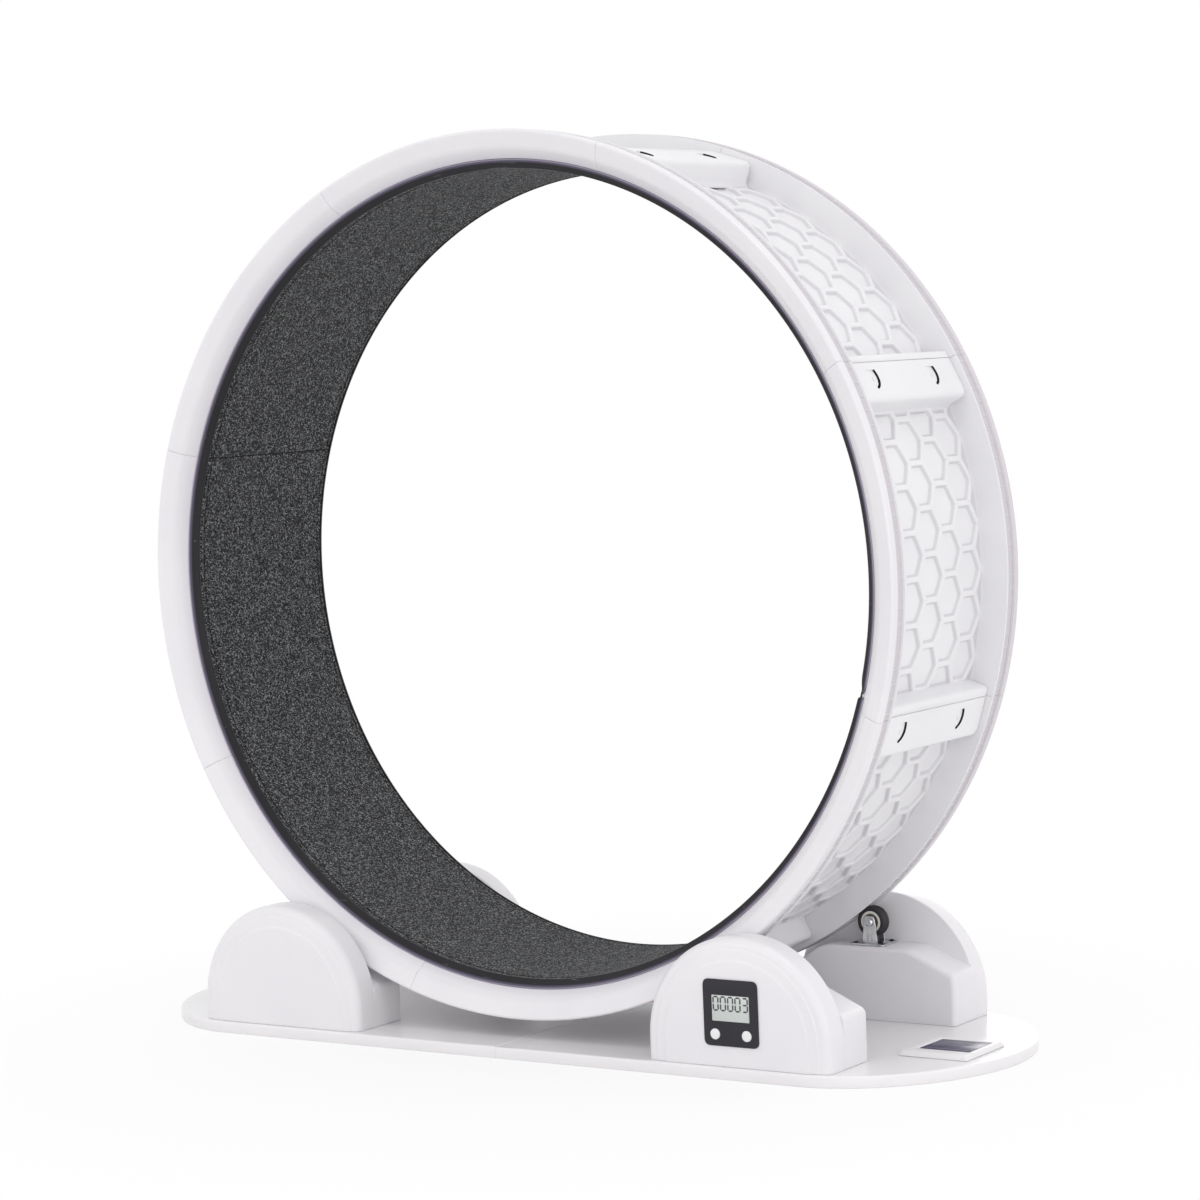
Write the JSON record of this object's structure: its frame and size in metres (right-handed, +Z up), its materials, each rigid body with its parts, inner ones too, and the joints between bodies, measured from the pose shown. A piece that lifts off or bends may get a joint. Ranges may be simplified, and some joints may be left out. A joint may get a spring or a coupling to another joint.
{
  "type": "cat exercise wheel",
  "caption": "White cat exercise wheel with a carpeted drum, rubber rollers in rounded housings, a distance counter and a small solar panel.",
  "frame": {"origin": "on the floor under the middle of the base", "axes": "+X to the right seen from the counter side, +Y to the back, +Z up; the wheel turns about Y"},
  "size_m": [1.108, 0.386, 1.0336],
  "materials": {
    "cover_white": "satin",
    "track_white": "satin",
    "base_white": "satin",
    "carpet": "looped, speckled",
    "seal_rubber": "satin",
    "tyre_rubber": "matte",
    "bracket_steel": "zinc plated",
    "hub_plastic": "matte",
    "counter_black": "fine grain",
    "display": "clear over grey",
    "button_white": "satin",
    "board": "matte",
    "solar_glass": "clear over dark cell",
    "magnet_metal": "plated"
  },
  "bodies": {
    "stand": {"base_plate_left": "base_white", "base_plate_right": "base_white", "housing_front_left": "cover_white", "roller_bracket_front_left": "bracket_steel", "roller_axle_front_left": "bracket_steel", "housing_front_right": "cover_white", "roller_bracket_front_right": "bracket_steel", "roller_axle_front_right": "bracket_steel", "housing_rear_left": "cover_white", "roller_bracket_rear_left": "bracket_steel", "roller_axle_rear_left": "bracket_steel", "housing_rear_right": "cover_white", "roller_bracket_rear_right": "bracket_steel", "roller_axle_rear_right": "bracket_steel", "counter_case": "counter_black", "counter_display": "display", "counter_board": "board", "counter_sensor": "counter_black", "solar_frame": "base_white", "solar_cell": "solar_glass"},
    "drum": {"track_panel_1": "track_white", "front_ring_segment_1": "cover_white", "rear_ring_segment_1": "cover_white", "track_panel_2": "track_white", "front_ring_segment_2": "cover_white", "rear_ring_segment_2": "cover_white", "track_panel_3": "track_white", "front_ring_segment_3": "cover_white", "rear_ring_segment_3": "cover_white", "track_panel_4": "track_white", "front_ring_segment_4": "cover_white", "rear_ring_segment_4": "cover_white", "track_panel_5": "track_white", "front_ring_segment_5": "cover_white", "rear_ring_segment_5": "cover_white", "track_panel_6": "track_white", "front_ring_segment_6": "cover_white", "rear_ring_segment_6": "cover_white", "track_panel_7": "track_white", "front_ring_segment_7": "cover_white", "rear_ring_segment_7": "cover_white", "track_panel_8": "track_white", "front_ring_segment_8": "cover_white", "rear_ring_segment_8": "cover_white", "front_edge_seal": "seal_rubber", "rear_edge_seal": "seal_rubber", "carpet_strip_1": "carpet", "carpet_strip_2": "carpet", "counter_magnet": "magnet_metal"},
    "roller_front_left": {"roller_hub_front_left": "hub_plastic", "roller_tyre_front_left": "tyre_rubber"},
    "roller_front_right": {"roller_hub_front_right": "hub_plastic", "roller_tyre_front_right": "tyre_rubber"},
    "roller_rear_left": {"roller_hub_rear_left": "hub_plastic", "roller_tyre_rear_left": "tyre_rubber"},
    "roller_rear_right": {"roller_hub_rear_right": "hub_plastic", "roller_tyre_rear_right": "tyre_rubber"},
    "button_left": {"counter_button_left": "button_white"},
    "button_right": {"counter_button_right": "button_white"}
  },
  "joints": [
    {"name": "drum_spin", "type": "hinge", "parent": "stand", "child": "drum", "pos_m": [0, 0, 0.534], "axis": [0, 1, 0], "continuous": true},
    {"name": "roller_spin_front_left", "type": "hinge", "parent": "stand", "child": "roller_front_left", "pos_m": [-0.309, -0.12675, 0.12162], "axis": [0, 1, 0], "continuous": true},
    {"name": "roller_spin_front_right", "type": "hinge", "parent": "stand", "child": "roller_front_right", "pos_m": [0.309, -0.12675, 0.12162], "axis": [0, 1, 0], "continuous": true},
    {"name": "roller_spin_rear_left", "type": "hinge", "parent": "stand", "child": "roller_rear_left", "pos_m": [-0.309, 0.12675, 0.12162], "axis": [0, 1, 0], "continuous": true},
    {"name": "roller_spin_rear_right", "type": "hinge", "parent": "stand", "child": "roller_rear_right", "pos_m": [0.309, 0.12675, 0.12162], "axis": [0, 1, 0], "continuous": true},
    {"name": "button_left_press", "type": "slide", "parent": "stand", "child": "button_left", "axis": [0, 1, 0], "range_m": [0, 0.001], "stiffness_N_per_m": 400},
    {"name": "button_right_press", "type": "slide", "parent": "stand", "child": "button_right", "axis": [0, 1, 0], "range_m": [0, 0.001], "stiffness_N_per_m": 400}
  ],
  "couplings": [
    {"joint": "roller_spin_front_left", "follows": "drum_spin", "ratio": -28.429},
    {"joint": "roller_spin_front_right", "follows": "drum_spin", "ratio": -28.429},
    {"joint": "roller_spin_rear_left", "follows": "drum_spin", "ratio": -28.429},
    {"joint": "roller_spin_rear_right", "follows": "drum_spin", "ratio": -28.429}
  ]
}
